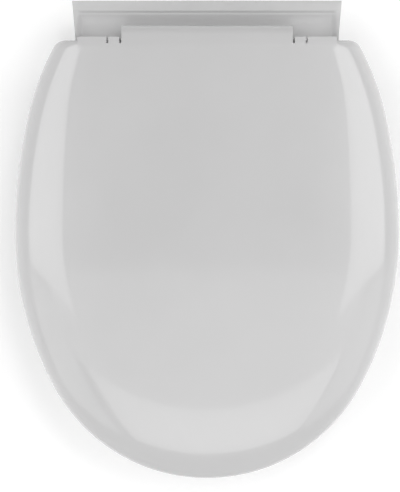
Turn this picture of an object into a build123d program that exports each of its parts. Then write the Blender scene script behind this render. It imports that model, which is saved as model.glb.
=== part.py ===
from build123d import *
import math
import os

# Toilet seat: a closed lid over a seat ring, both turning on two pins that
# stand on one long hinge bar. Millimetres, +Z up, front of the seat towards -Y.
# The origin lies midway between the two fixing bolts, on the bowl's top face.

# Seat outline, seen from above, at the edge of the lid
lid_width = 360.0
lid_reach = 429.2
widest_reach = 200.0
lid_rear_reach = 20.7
cheek_ease = 0.31
rear_side_radius = 500.0
haunch_reach = 92.0
haunch_radius = 260.0
rear_corner_radius = 12.0

# Lid
lid_edge_height = 23.0
lid_shoulder_height = 32.0
lid_wall = 2.6
lid_draft = 1.5
side_shoulder = 46.0
rear_side_shoulder = 24.0
front_shoulder = 78.0
rear_shoulder = 3.0
lid_bands = 8
strip_rise = 1.2
strip_reach = 26.5

# Hinge
axis_height = 34.0
axis_reach = 23.5
barrel_reach = 16.8
barrel_radius = 10.0
pin_diameter = 5.0
pin_clearance = 0.1
eye_radius = 4.8
tongue_half_width = 79.2
tongue_wrap = 72.0
lip_reach = 18.4
finger_width = 10.0
slit_width = 2.0
slit_length = 5.4
side_gap = 0.3
ring_eye_width = 17.0
pin_head_diameter = 8.0
pin_head_length = 1.2

# Hinge bar
bar_length = 253.0
bar_taper = 4.0
bar_rear = 18.2
bar_front = 31.0
bar_height = 20.0
bar_shelf = 10.0
bar_trough_height = 15.0
bar_step = 1.6
bar_end_wall = 6.6
bar_wall = 2.6
bar_edge_radius = 1.6
bar_rib_pitch = 29.0
bar_rib = 2.2
ear_radius = 4.2
ear_lean = 6.0
ear_setback = 0.6

# Fixings
bolt_spacing = 155.0
bolt_diameter = 8.0
bolt_clearance = 0.3
bolt_head_width = 16.0
bolt_head_height = 5.0
bolt_length = 63.0
bolt_neck_width = 7.8
thread_diameter = 7.4
slot_ledge = 4.0
slot_wall = 3.2
pad_thickness = 1.5
pad_margin = 1.0
bowl_thickness = 20.0
soft_washer_diameter = 26.0
soft_washer_thickness = 6.0
washer_diameter = 30.0
washer_thickness = 2.0
nut_hub_diameter = 16.0
nut_height = 14.0
wing_span = 44.0
wing_thickness = 4.0

# Seat ring
ring_margin = 4.0
ring_rear_reach = 40.0
ring_rear_corner = 46.0
ring_bottom = 6.0
ring_side_height = 15.0
ring_top = 26.0
ring_wall = 2.8
ring_side_shoulder = 24.0
ring_rear_side_shoulder = 18.0
ring_front_shoulder = 26.0
ring_rear_shoulder = 12.0
ring_bands = 5
opening_width = 222.0
opening_rear_reach = 118.0
opening_front_reach = 348.0
opening_widest_reach = 205.0
opening_rear_side_radius = 150.0
opening_rear_corner = 62.0
opening_flare = 9.0
opening_flare_depth = 7.0
opening_bands = 4
ring_rib = 2.2
ring_rib_count = 10
ring_rib_recess = 5.0

# Buffers
buffer_length = 44.0
buffer_width = 15.0
buffer_edge = 1.5
buffer_stem_diameter = 7.0
buffer_stem_length = 7.0
boss_wall = 2.2
lid_buffer_diameter = 15.0
lid_buffer_height = 6.0
buffer_gap = 0.3

# Places of the buffers, as shares of the half width and of the reach behind and ahead of the widest line
rear_ring_buffer_spread = 0.745
rear_ring_buffer_share = 0.59
rear_ring_buffer_turn = 78.0
front_ring_buffer_spread = 0.595
front_ring_buffer_share = 0.655
front_ring_buffer_turn = 38.0
rear_lid_buffer_spread = 0.71
rear_lid_buffer_share = 0.75
front_lid_buffer_spread = 0.578
front_lid_buffer_share = 0.633

axis_y = -axis_reach
barrel_y = -barrel_reach
lid_top = axis_height + barrel_radius + strip_rise
half_spacing = bolt_spacing / 2
bar_half = bar_length / 2
lip_half_width = bar_half - bar_end_wall
finger_inner = tongue_half_width + slit_width
finger_outer = finger_inner + finger_width
ear_thickness = slit_width - 2 * side_gap
inner_ear = tongue_half_width + slit_width / 2
outer_ear = finger_outer + slit_width / 2
ring_eye_inner = finger_outer + slit_width
ring_eye_outer = ring_eye_inner + ring_eye_width
sides = {"left": -1, "right": 1}


def seat_outline(half_width, rear, front, widest, flanks, corner):
    """Egg outline of tangent arcs and a straight rear edge, as a face at z = 0."""
    reach = widest - front
    ease = math.copysign(cheek_ease, reach - half_width)
    cheek_radius = reach * (1 + ease)
    nose_radius = half_width - (reach - half_width) ** 2 / (2 * reach * ease)
    nose = Vector(0, front + nose_radius)
    cheek = Vector(half_width - cheek_radius, widest)

    def on(centre, radius, towards):
        return centre + (towards - centre).normalized() * radius

    def between(centre, radius, start, end):
        return on(centre, radius, (start + end) * 0.5)

    tip = Vector(0, front)
    cheek_end = nose + (nose - cheek).normalized() * math.copysign(nose_radius, ease)
    start = Vector(half_width, widest)
    right = [
        ThreePointArc(tip, between(nose, nose_radius, tip, cheek_end), cheek_end),
        ThreePointArc(cheek_end, between(cheek, cheek_radius, cheek_end, start), start),
    ]
    flank_radius = flanks[0][0]
    flank = Vector(half_width - flank_radius, widest)
    for (radius, reach), (next_radius, _) in zip(flanks, flanks[1:]):
        end = Vector(flank.X + math.sqrt(radius**2 - (reach - flank.Y) ** 2), reach)
        right.append(ThreePointArc(start, between(flank, radius, start, end), end))
        flank = on(flank, radius - next_radius, end)
        start, flank_radius = end, next_radius
    corner_y = rear - corner
    corner_x = flank.X + math.sqrt((flank_radius - corner) ** 2 - (corner_y - flank.Y) ** 2)
    pivot = Vector(corner_x, corner_y)
    flank_end = on(flank, flank_radius, pivot)
    rear_end = Vector(corner_x, rear)
    right.append(ThreePointArc(start, between(flank, flank_radius, start, flank_end), flank_end))
    right.append(ThreePointArc(flank_end, between(pivot, corner, flank_end, rear_end), rear_end))
    left = [edge.mirror(Plane.YZ) for edge in right]
    back = Line(rear_end, Vector(-corner_x, rear))
    return make_face(Wire(right + left + [back]))


def quarter_turn(bands):
    """Run and lift, from 0 to 1, of a quarter ellipse cut into equal angles."""
    turns = [math.pi / 2 * band / bands for band in range(bands + 1)]
    return [(1 - math.cos(turn), math.sin(turn)) for turn in turns]


def flank_after(inset, rear_inset, length):
    """Flank radius of an outline drawn in by one margin at its widest and another at its rear."""
    drop = rear_side_radius - math.sqrt(rear_side_radius**2 - length**2)
    drop -= inset - rear_inset
    return (length**2 + drop**2) / (2 * drop)


def lid_section(inset, corner_inset, front_inset, rear_inset, height):
    """The lid's outline drawn in by margins of its own at sides, rear corners, front and rear."""
    half = lid_width / 2
    length = widest_reach - lid_rear_reach
    face = seat_outline(
        half - inset,
        -lid_rear_reach - rear_inset,
        -lid_reach + front_inset,
        -widest_reach,
        [(flank_after(inset, corner_inset, length), -haunch_reach), (haunch_radius, None)],
        rear_corner_radius,
    )
    return face.moved(Location((0, 0, height)))


def dome(section, edge, shoulder, top, draft, spread, bands, margin=0.0):
    """Loft from a drafted edge over an elliptical shoulder to a level top."""
    across, corner, ahead, behind = spread
    sections = [section(margin, margin, margin, margin, edge)]
    for run, lift in quarter_turn(bands):
        sections.append(
            section(
                margin + draft + across * run,
                margin + draft + corner * run,
                margin + draft + ahead * run,
                margin + behind * run,
                shoulder + (top - shoulder) * lift,
            )
        )
    return loft(sections, ruled=True)


def across_x(profile, start, end):
    """Extrude a face drawn in the YZ plane from x = start to x = end."""
    return extrude(profile, amount=end - start, dir=(1, 0, 0)).moved(Location((start, 0, 0)))


def yz(y, z):
    return Vector(0, y, z)


def around(y, radius, angle):
    """Point at axis height about a centre, the angle counted from the vertical towards the rear."""
    turn = math.radians(angle)
    return yz(y + radius * math.sin(turn), axis_height + radius * math.cos(turn))


def on_axis(radius, angle):
    return around(axis_y, radius, angle)


def on_barrel(radius, angle):
    return around(barrel_y, radius, angle)


def box_between(low, high):
    size = [b - a for a, b in zip(low, high)]
    return Pos(*low) * Box(*size, align=(Align.MIN, Align.MIN, Align.MIN))


def rod_x(radius, start, end, y=axis_y, z=axis_height):
    low, high = min(start, end), max(start, end)
    bar = Cylinder(radius, high - low, align=(Align.CENTER, Align.CENTER, Align.MIN))
    return Pos(low, y, z) * Rot(0, 90, 0) * bar


def hinge_strip_profile():
    """The lid's rear strip: a slope from the crease, wrapped over the hinge barrel."""
    inner = barrel_radius - lid_wall
    crease = yz(-strip_reach, lid_top)
    rise = barrel_radius + strip_rise
    depth = strip_reach - barrel_reach
    lead = math.acos(barrel_radius / math.hypot(depth, rise)) - math.atan2(depth, rise)
    lead = math.degrees(lead)
    tip = tongue_wrap
    root = yz(-strip_reach - lid_wall, lid_top)
    edges = [
        Line(root, crease),
        Line(crease, on_barrel(barrel_radius, lead)),
        ThreePointArc(
            on_barrel(barrel_radius, lead),
            on_barrel(barrel_radius, (lead + tip) / 2),
            on_barrel(barrel_radius, tip),
        ),
        ThreePointArc(
            on_barrel(barrel_radius, tip),
            on_barrel((barrel_radius + inner) / 2, tip + math.degrees(lid_wall / 2 / barrel_radius)),
            on_barrel(inner, tip),
        ),
        ThreePointArc(on_barrel(inner, tip), on_barrel(inner, (lead + tip) / 2), on_barrel(inner, lead)),
        Line(on_barrel(inner, lead), crease - Vector(0, 0, lid_wall)),
        Line(crease - Vector(0, 0, lid_wall), root - Vector(0, 0, lid_wall)),
        Line(root - Vector(0, 0, lid_wall), root),
    ]
    return make_face(Wire(edges))


def mirrored(x_low, x_high):
    """The two spans, right and left, of a feature that both sides share."""
    return [(x_low, x_high), (-x_high, -x_low)]


def buffer_places(rear, front):
    """Place and turn of four buffers from the spread, share and turn of a rear and a front pair."""
    places = {}
    for name, side in sides.items():
        spread, share, turn = rear
        places["rear_" + name] = (side * spread * lid_width / 2, -share * widest_reach, side * turn)
    for name, side in sides.items():
        spread, share, turn = front
        ahead = widest_reach + share * (lid_reach - widest_reach)
        places["front_" + name] = (side * spread * lid_width / 2, -ahead, side * turn)
    return places


lid_spread = (side_shoulder, rear_side_shoulder, front_shoulder, rear_shoulder)
lid_buffer_top = ring_top + buffer_gap + lid_buffer_height
lid_buffer_places = buffer_places(
    (rear_lid_buffer_spread, rear_lid_buffer_share, 0.0),
    (front_lid_buffer_spread, front_lid_buffer_share, 0.0),
)


def make_lid():
    shell = dome(
        lid_section, lid_edge_height, lid_shoulder_height, lid_top, lid_draft, lid_spread, lid_bands
    )
    hollow = dome(
        lid_section,
        lid_edge_height - lid_wall,
        lid_shoulder_height,
        lid_top - lid_wall,
        lid_draft,
        lid_spread,
        lid_bands // 2,
        lid_wall,
    )
    lid = shell - hollow
    strip = hinge_strip_profile()
    doorway = box_between(
        (-lip_half_width, -strip_reach - lid_wall, lid_edge_height - lid_wall),
        (lip_half_width, barrel_y, lid_top),
    )
    lid = lid - doorway + across_x(strip, -lip_half_width, lip_half_width)
    for low, high in mirrored(tongue_half_width, lip_half_width):
        lid -= box_between((low, -lip_reach, 0), (high, barrel_y + 2 * barrel_radius, lid_top))
    for low, high in mirrored(finger_inner, finger_outer):
        web = box_between(
            (low, axis_y - eye_radius, axis_height),
            (high, axis_y + eye_radius, axis_height + barrel_radius - lid_wall / 2),
        )
        lid += web + rod_x(eye_radius, low, high)
    for x_low, x_high in mirrored(tongue_half_width, finger_inner) + mirrored(finger_outer, ring_eye_inner):
        middle = (x_low + x_high) / 2
        slit_end = -lip_reach - slit_length
        slit = box_between((x_low, slit_end, axis_height), (x_high, barrel_y, lid_top))
        end = Pos(middle, slit_end, axis_height) * Cylinder(
            slit_width / 2, lid_top, align=(Align.CENTER, Align.CENTER, Align.MIN)
        )
        lid -= slit + end
    lid -= rod_x(pin_diameter / 2 + pin_clearance, -ring_eye_outer, ring_eye_outer)
    stem = buffer_stem_diameter / 2
    up = (Align.CENTER, Align.CENTER, Align.MIN)
    for x, y, turn in lid_buffer_places.values():
        seat = Pos(x, y, lid_buffer_top)
        lid += (seat * Cylinder(stem + boss_wall, lid_top - lid_buffer_top, align=up)) & shell
        lid -= seat * Cylinder(stem, buffer_stem_length, align=up)
    return lid


def ring_section(inset, corner_inset, front_inset, rear_inset, height):
    """The ring's outline: the lid's, drawn in by the ring's margin, with a rounder rear."""
    half = lid_width / 2 - ring_margin
    length = widest_reach - ring_rear_reach
    face = seat_outline(
        half - inset,
        -ring_rear_reach - rear_inset,
        -lid_reach + ring_margin + front_inset,
        -widest_reach,
        [(flank_after(inset, corner_inset, length), None)],
        ring_rear_corner,
    )
    return face.moved(Location((0, 0, height)))


def opening_section(growth, height):
    face = seat_outline(
        opening_width / 2 + growth,
        -opening_rear_reach + growth,
        -opening_front_reach - growth,
        -opening_widest_reach,
        [(opening_rear_side_radius + growth, None)],
        opening_rear_corner + growth,
    )
    return face.moved(Location((0, 0, height)))


def opening_plug(margin, bottom, top):
    """The hole through the ring, flared where it rounds over into the seat's top face."""
    sections = [opening_section(margin, bottom)]
    for run, lift in quarter_turn(opening_bands):
        sections.append(
            opening_section(margin + opening_flare * run, top - opening_flare_depth * (1 - lift))
        )
    return loft(sections, ruled=True)


ring_spread = (
    ring_side_shoulder,
    ring_rear_side_shoulder,
    ring_front_shoulder,
    ring_rear_shoulder,
)
ring_buffer_places = buffer_places(
    (rear_ring_buffer_spread, rear_ring_buffer_share, -rear_ring_buffer_turn),
    (front_ring_buffer_spread, front_ring_buffer_share, front_ring_buffer_turn),
)


def arm_profile():
    """Ring arm seen from the side: a tapering web from the ring's rear up to the hinge eye."""
    root_y = -ring_rear_reach - ring_rear_shoulder
    root_top = ring_top - ring_wall / 2
    heel = yz(root_y, ring_bottom + ring_wall)
    edges = [
        Line(on_axis(eye_radius, -20), yz(root_y, root_top)),
        Line(yz(root_y, root_top), heel),
        Line(heel, yz(-ring_rear_reach, ring_bottom + ring_wall)),
        Line(yz(-ring_rear_reach, ring_bottom + ring_wall), on_axis(eye_radius, 180)),
        ThreePointArc(on_axis(eye_radius, 180), on_axis(eye_radius, 80), on_axis(eye_radius, -20)),
    ]
    return make_face(Wire(edges))


def make_ring():
    body = dome(
        ring_section, ring_bottom, ring_side_height, ring_top, lid_draft, ring_spread, ring_bands
    )
    hollow = dome(
        ring_section,
        ring_bottom - ring_wall,
        ring_side_height,
        ring_top - ring_wall,
        lid_draft,
        ring_spread,
        ring_bands // 2,
        ring_wall,
    )
    inner_wall = opening_plug(ring_wall, ring_bottom - 2 * ring_wall, ring_top - ring_wall)
    channel = hollow - inner_wall
    ring = body - channel - opening_plug(0, ring_bottom - ring_wall, ring_top)
    rib_low = ring_bottom + ring_rib_recess
    rib = box_between((0, -ring_rib / 2, rib_low), (lid_reach, ring_rib / 2, ring_top))
    for index in range(ring_rib_count):
        turn = 360 * (index + 0.5) / ring_rib_count
        ring += (Pos(0, -opening_widest_reach, 0) * Rot(0, 0, turn) * rib) & channel
    for low, high in mirrored(ring_eye_inner + side_gap, ring_eye_outer):
        ring += across_x(arm_profile(), low, high)
    ring -= rod_x(pin_diameter / 2 + pin_clearance, -ring_eye_outer, ring_eye_outer)
    up = (Align.CENTER, Align.CENTER, Align.MIN)
    stem = buffer_stem_diameter / 2
    for x, y, turn in ring_buffer_places.values():
        seat = Pos(x, y, ring_bottom)
        ring += (seat * Cylinder(stem + boss_wall, ring_top - ring_bottom, align=up)) & body
        ring -= seat * Cylinder(stem, buffer_stem_length, align=up)
    return ring


def bar_profile():
    """Section of the hinge bar: flat rear shelf, a small step, a cove and a shallow trough."""
    shelf_front = bar_rear - bar_shelf
    trough_rear = barrel_y + barrel_radius + bar_step
    cove_top = bar_height - bar_step
    edges = [
        Line(yz(-bar_front, pad_thickness), yz(bar_rear, pad_thickness)),
        Line(yz(bar_rear, pad_thickness), yz(bar_rear, bar_height)),
        Line(yz(bar_rear, bar_height), yz(shelf_front, bar_height)),
        Line(yz(shelf_front, bar_height), yz(shelf_front - bar_step / 2, cove_top)),
        ThreePointArc(
            yz(shelf_front - bar_step / 2, cove_top),
            yz((shelf_front + trough_rear) / 2, (cove_top + bar_trough_height) / 2 - bar_step / 2),
            yz(trough_rear, bar_trough_height),
        ),
        Line(yz(trough_rear, bar_trough_height), yz(-bar_front, bar_trough_height - bar_step)),
        Line(yz(-bar_front, bar_trough_height - bar_step), yz(-bar_front, pad_thickness)),
    ]
    return make_face(Wire(edges))


def end_profile():
    """Section of the bar's raised end walls, rounded down at the front."""
    nose = bar_height - bar_step
    fall = bar_front - axis_reach
    edges = [
        Line(yz(-bar_front, pad_thickness), yz(bar_rear, pad_thickness)),
        Line(yz(bar_rear, pad_thickness), yz(bar_rear, bar_height)),
        Line(yz(bar_rear, bar_height), yz(axis_y, nose)),
        ThreePointArc(
            yz(axis_y, nose),
            yz(axis_y - fall * math.sqrt(0.5), nose - fall * (1 - math.sqrt(0.5))),
            yz(-bar_front, nose - fall),
        ),
        Line(yz(-bar_front, nose - fall), yz(-bar_front, pad_thickness)),
    ]
    return make_face(Wire(edges))


def ear_profile():
    """Web that carries a hinge pin, set forward so that the lid's slits pass it when the lid folds back."""
    foot = bar_trough_height - 2 * bar_step
    neck = axis_height - barrel_radius + 2 * lid_wall
    edges = [
        Line(yz(axis_y + ear_setback, foot), yz(axis_y + ear_setback, neck)),
        Line(yz(axis_y + ear_setback, neck), yz(axis_y + ear_radius, axis_height)),
        ThreePointArc(
            yz(axis_y + ear_radius, axis_height),
            yz(axis_y, axis_height + ear_radius),
            yz(axis_y - ear_radius, axis_height),
        ),
        Line(yz(axis_y - ear_radius, axis_height), yz(axis_y - ear_lean, foot)),
        Line(yz(axis_y - ear_lean, foot), yz(axis_y + ear_setback, foot)),
    ]
    return make_face(Wire(edges))


washer_top = -bowl_thickness - soft_washer_thickness
nut_top = washer_top - washer_thickness
slot_half = bolt_head_width / 2 + bolt_clearance
slot_floor = pad_thickness + slot_ledge
slot_roof = slot_floor + bolt_head_height + bolt_clearance
block_half = slot_half + slot_wall


def make_bar():
    bar = across_x(bar_profile(), -bar_half, bar_half)
    for low, high in mirrored(bar_half - bar_end_wall, bar_half):
        bar += across_x(end_profile(), low, high)
    plan = [(bar_half, bar_rear), (bar_half - bar_taper, -bar_front)]
    plan += [(-x, y) for x, y in reversed(plan)]
    bar &= extrude(make_face(Polyline(*plan, close=True)), amount=bar_height)
    rear_edges = bar.edges().filter_by(Axis.X).group_by(Axis.Y)[-1]
    bar = fillet(rear_edges.sort_by(Axis.Z)[-1:], bar_edge_radius)
    roof = bar_trough_height - bar_step - bar_wall
    bays = [(-half_spacing + block_half, half_spacing - block_half)]
    bays += mirrored(half_spacing + block_half, bar_half - bar_end_wall)
    for low, high in bays:
        count = max(1, round((high - low) / bar_rib_pitch))
        pitch = (high - low + bar_rib) / count
        for index in range(count):
            start = low + index * pitch
            bar -= box_between(
                (start, -bar_front + bar_wall, 0), (start + pitch - bar_rib, bar_rear - bar_wall, roof)
            )
    for side in sides.values():
        middle = side * half_spacing
        channel = box_between(
            (middle - slot_half, -bar_front, slot_floor), (middle + slot_half, slot_half, slot_roof)
        )
        throat_half = bolt_diameter / 2 + bolt_clearance
        throat = box_between(
            (middle - throat_half, -bar_front, 0), (middle + throat_half, throat_half, slot_roof)
        )
        bar -= channel + throat
        for place in (inner_ear, outer_ear):
            centre = side * place
            bar += across_x(ear_profile(), centre - ear_thickness / 2, centre + ear_thickness / 2)
    bar -= rod_x(pin_diameter / 2, -ring_eye_outer, ring_eye_outer)
    return bar


def make_pin(side):
    inner = inner_ear - ear_thickness / 2
    shank = rod_x(pin_diameter / 2, side * (inner - pin_head_length), side * (ring_eye_outer + side_gap))
    head = rod_x(
        pin_head_diameter / 2,
        side * (ring_eye_outer + side_gap),
        side * (ring_eye_outer + side_gap + pin_head_length),
    )
    return shank + head


def make_pad(side):
    middle = side * half_spacing
    throat_half = bolt_diameter / 2 + bolt_clearance
    pad = box_between(
        (middle - block_half + pad_margin, -bar_front + pad_margin, 0),
        (middle + block_half - pad_margin, bar_rear - pad_margin, pad_thickness),
    )
    pad = fillet(pad.edges().filter_by(Axis.Z), bar_wall)
    throat = box_between(
        (middle - throat_half, -bar_front, 0), (middle + throat_half, throat_half, pad_thickness)
    )
    return pad - throat


def make_bolt(side):
    down = (Align.CENTER, Align.CENTER, Align.MAX)
    up = (Align.CENTER, Align.CENTER, Align.MIN)
    head = Box(bolt_head_width, bolt_head_width, bolt_head_height, align=up)
    head = chamfer(head.edges().filter_by(Axis.Z), bolt_head_width / 8)
    neck = Box(bolt_neck_width, bolt_neck_width, slot_floor, align=down)
    shank = Pos(0, 0, -slot_floor) * Cylinder(bolt_diameter / 2, bowl_thickness, align=down)
    thread = Cylinder(thread_diameter / 2, bolt_length, align=down)
    thread = chamfer(thread.faces().sort_by(Axis.Z)[0].edges(), bolt_diameter / 8)
    return Pos(side * half_spacing, 0, slot_floor) * (head + neck + shank + thread)


def bored(solid, height):
    down = (Align.CENTER, Align.CENTER, Align.MAX)
    hole = Cylinder(bolt_diameter / 2 + bolt_clearance, height, align=down)
    return solid - hole


def make_disc(side, diameter, thickness, top):
    disc = Cylinder(diameter / 2, thickness, align=(Align.CENTER, Align.CENTER, Align.MAX))
    return Pos(side * half_spacing, 0, top) * bored(disc, thickness)


def make_nut(side):
    down = (Align.CENTER, Align.CENTER, Align.MAX)
    hub = Cylinder(nut_hub_diameter / 2, nut_height, align=down)
    hub = chamfer(hub.faces().sort_by(Axis.Z)[0].edges(), bolt_diameter / 8)
    wing = Box(wing_span, wing_thickness, nut_height, align=down)
    wing = chamfer(wing.edges().filter_by(Axis.Y), nut_height / 4)
    return Pos(side * half_spacing, 0, nut_top) * bored(hub + wing, nut_height)


def make_ring_buffer(x, y, turn):
    up = (Align.CENTER, Align.CENTER, Align.MIN)
    sole = SlotOverall(buffer_length, buffer_width)
    body = extrude(sole, amount=ring_bottom)
    body = chamfer(body.faces().sort_by(Axis.Z)[0].edges(), buffer_edge)
    stem = Pos(0, 0, ring_bottom) * Cylinder(buffer_stem_diameter / 2, buffer_stem_length, align=up)
    return Pos(x, y, 0) * Rot(0, 0, turn) * (body + stem)


def make_lid_buffer(x, y):
    up = (Align.CENTER, Align.CENTER, Align.MIN)
    body = Cylinder(lid_buffer_diameter / 2, lid_buffer_height, align=up)
    body = chamfer(body.faces().sort_by(Axis.Z)[0].edges(), buffer_edge)
    stem = Pos(0, 0, lid_buffer_height) * Cylinder(buffer_stem_diameter / 2, buffer_stem_length, align=up)
    return Pos(x, y, ring_top + buffer_gap) * (body + stem)


nodes = {"lid": make_lid(), "seat_ring": make_ring(), "hinge_bar": make_bar()}
for name, side in sides.items():
    nodes[name + "_hinge_pin"] = make_pin(side)
    nodes[name + "_bar_pad"] = make_pad(side)
    nodes[name + "_fixing_bolt"] = make_bolt(side)
    nodes[name + "_soft_washer"] = make_disc(
        side, soft_washer_diameter, soft_washer_thickness, -bowl_thickness
    )
    nodes[name + "_hard_washer"] = make_disc(side, washer_diameter, washer_thickness, washer_top)
    nodes[name + "_wing_nut"] = make_nut(side)
for name, (x, y, turn) in ring_buffer_places.items():
    nodes[name + "_ring_buffer"] = make_ring_buffer(x, y, turn)
for name, (x, y, turn) in lid_buffer_places.items():
    nodes[name + "_lid_buffer"] = make_lid_buffer(x, y)

os.makedirs("parts", exist_ok=True)
for name, shape in nodes.items():
    export_step(shape, f"parts/{name}.step")
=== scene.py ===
import bpy
import bmesh
from math import acos, asin, atan2, cos, hypot, pi, radians, sin, sqrt
from mathutils import Matrix, Vector
from mathutils.bvhtree import BVHTree


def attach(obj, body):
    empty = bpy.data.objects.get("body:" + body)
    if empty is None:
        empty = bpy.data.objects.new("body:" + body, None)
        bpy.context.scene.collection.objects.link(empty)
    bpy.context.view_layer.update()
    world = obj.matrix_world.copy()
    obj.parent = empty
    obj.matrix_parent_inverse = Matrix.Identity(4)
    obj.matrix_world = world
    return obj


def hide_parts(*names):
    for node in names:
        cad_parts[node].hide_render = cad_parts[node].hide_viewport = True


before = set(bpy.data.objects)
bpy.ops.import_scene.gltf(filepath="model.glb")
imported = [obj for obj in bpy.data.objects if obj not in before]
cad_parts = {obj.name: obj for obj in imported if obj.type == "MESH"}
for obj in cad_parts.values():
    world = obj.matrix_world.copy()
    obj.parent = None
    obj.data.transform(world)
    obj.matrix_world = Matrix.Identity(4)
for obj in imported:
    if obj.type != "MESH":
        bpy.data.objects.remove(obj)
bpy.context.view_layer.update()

mm = 0.001
right = Vector((1, 0, 0))
back = Vector((0, 1, 0))
up = Vector((0, 0, 1))
cheekEase = 0.31                 # how much flatter the outline's cheeks are than its reach
weld = 0.001                     # points this near each other are one
near = 0.01                      # how near a point lies to a line to count as on it
cutNear = 0.0001                 # the same where a plane cuts a mesh


# small helpers for bmesh work, all in millimetres until a piece is finished

def linkPiece(name, bm, body, material, nodes=(), smooth=True, scale=mm):
    bmesh.ops.scale(bm, vec=(scale, scale, scale), verts=bm.verts)
    mesh = bpy.data.meshes.new(name)
    for face in bm.faces:
        face.smooth = smooth
    bm.to_mesh(mesh)
    bm.free()
    piece = bpy.data.objects.new(name, mesh)
    bpy.context.scene.collection.objects.link(piece)
    mesh.materials.append(material)
    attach(piece, body)
    if nodes:
        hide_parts(*nodes)
    return piece


def addBevel(piece, width, segments=3, angle=35):
    bevel = piece.modifiers.new("edgeRound", "BEVEL")
    bevel.width = width * mm
    bevel.segments = segments
    bevel.limit_method = "ANGLE"
    bevel.angle_limit = radians(angle)
    bevel.use_clamp_overlap = True
    bevel.harden_normals = True
    bevel.miter_outer = "MITER_ARC"


def addWall(piece, thickness):
    wall = piece.modifiers.new("wall", "SOLIDIFY")
    wall.thickness = thickness * mm
    wall.offset = -1
    wall.use_even_offset = True
    wall.use_quality_normals = True


def turn(bm, vert, centre, angle, steps):
    # carries one vertex round a centre in the XY plane and leaves a chain of edges behind
    made = bmesh.ops.spin(bm, geom=[vert], cent=centre, axis=up, angle=angle, steps=steps)
    return [g for g in made["geom_last"] if isinstance(g, bmesh.types.BMVert)][0]


def eggHalf(bm, egg, height):
    # right half of the egg outline, from the front tip to the middle of the rear edge
    half, rear, front, widest = egg["half"], egg["rear"], egg["front"], egg["widest"]
    flank, corner = egg["flank"], egg["corner"]
    reach = widest - front
    cheek = reach * (1 + cheekEase)
    nose = half - (reach - half) ** 2 / (2 * reach * cheekEase)
    noseMid = Vector((0, front + nose, height))
    cheekMid = Vector((half - cheek, widest, height))
    flankMid = Vector((half - flank, widest, height))
    # lean, turned and sweep are the angles where nose, cheek, flank, haunch and corner meet
    lean = atan2(-(noseMid - cheekMid).y, (noseMid - cheekMid).x)
    bends = [(flankMid, flank, egg["steps"][2])]
    turned = 0.0
    if "haunch" in egg:
        haunchY, haunch = egg["haunch"]
        turned = asin((haunchY - widest) / flank)
        haunchMid = flankMid + Vector((cos(turned), sin(turned), 0)) * (flank - haunch)
        bends.append((haunchMid, haunch, egg["steps"][4]))
    lastMid, lastBend, lastSteps = bends[-1]
    cornerY = rear - corner
    cornerX = lastMid.x + sqrt((lastBend - corner) ** 2 - (cornerY - lastMid.y) ** 2)
    cornerMid = Vector((cornerX, cornerY, height))
    sweep = atan2(cornerY - lastMid.y, cornerX - lastMid.x)
    start = set(bm.edges)
    vert = bm.verts.new((0, front, height))
    vert = turn(bm, vert, noseMid, pi / 2 - lean, egg["steps"][0])
    vert = turn(bm, vert, cheekMid, lean, egg["steps"][1])
    if turned:
        vert = turn(bm, vert, flankMid, turned, egg["steps"][2])
    vert = turn(bm, vert, lastMid, sweep - turned, lastSteps)
    vert = turn(bm, vert, cornerMid, pi / 2 - sweep, egg["steps"][3])
    made = bmesh.ops.extrude_vert_indiv(bm, verts=[vert])
    made["verts"][0].co = (0, rear, height)
    return [e for e in bm.edges if e not in start]


def joinRows(bm, rows):
    # skins one row after the other
    faces = []
    for low, high in zip(rows, rows[1:]):
        made = bmesh.ops.bridge_loops(bm, edges=low + high)
        faces += made["faces"]
    return faces


def quarter(bands):
    # steps of a quarter round, as shares of its run and its rise
    turns = [pi / 2 * band / bands for band in range(bands + 1)]
    return [(1 - cos(t), sin(t)) for t in turns]


def mirrorHalf(bm):
    geom = bm.verts[:] + bm.edges[:] + bm.faces[:]
    bmesh.ops.mirror(bm, geom=geom, matrix=Matrix.Identity(4), merge_dist=weld, axis="X")
    bmesh.ops.remove_doubles(bm, verts=bm.verts, dist=weld)
    bmesh.ops.recalc_face_normals(bm, faces=bm.faces)


def cutAt(bm, point, normal, clearOuter=False, clearInner=False, geom=None):
    geom = geom or bm.verts[:] + bm.edges[:] + bm.faces[:]
    bmesh.ops.bisect_plane(
        bm, geom=geom, dist=cutNear, plane_co=point, plane_no=normal,
        clear_outer=clearOuter, clear_inner=clearInner)


def extrudeRow(bm, edges):
    # pulls a new row out of a run of border edges and returns its vertices and edges
    made = bmesh.ops.extrude_edge_only(bm, edges=edges)["geom"]
    verts = [g for g in made if isinstance(g, bmesh.types.BMVert)]
    old = set(edges)
    row = [g for g in made if isinstance(g, bmesh.types.BMEdge)
           and g not in old and all(v in verts for v in g.verts)]
    return verts, row


def tubeX(bm, start, end, y, z, outer, inner, steps=48, chamfer=0.5):
    # hollow eye along X: a small section spun once round the axis
    points = [(start, inner), (start, outer - chamfer), (start + chamfer, outer),
              (end - chamfer, outer), (end, outer - chamfer), (end, inner)]
    verts = [bm.verts.new((x, y, z + r)) for x, r in points]
    edges = [bm.edges.new(pair) for pair in zip(verts, verts[1:] + verts[:1])]
    bmesh.ops.spin(bm, geom=verts + edges, cent=(0, y, z), axis=right, angle=2 * pi,
                   steps=steps, use_merge=True)


def plate(bm, points, start, end):
    # flat outline in the YZ plane, extruded along X
    verts = [bm.verts.new((start, y, z)) for y, z in points]
    face = bm.faces.new(verts)
    made = bmesh.ops.extrude_face_region(bm, geom=[face])["geom"]
    top = [g for g in made if isinstance(g, bmesh.types.BMVert)]
    bmesh.ops.translate(bm, vec=(end - start, 0, 0), verts=top)


# finishes

def newFinish(name):
    material = bpy.data.materials.new(name)
    material.use_nodes = True
    return material, material.node_tree.nodes, material.node_tree.links


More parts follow.
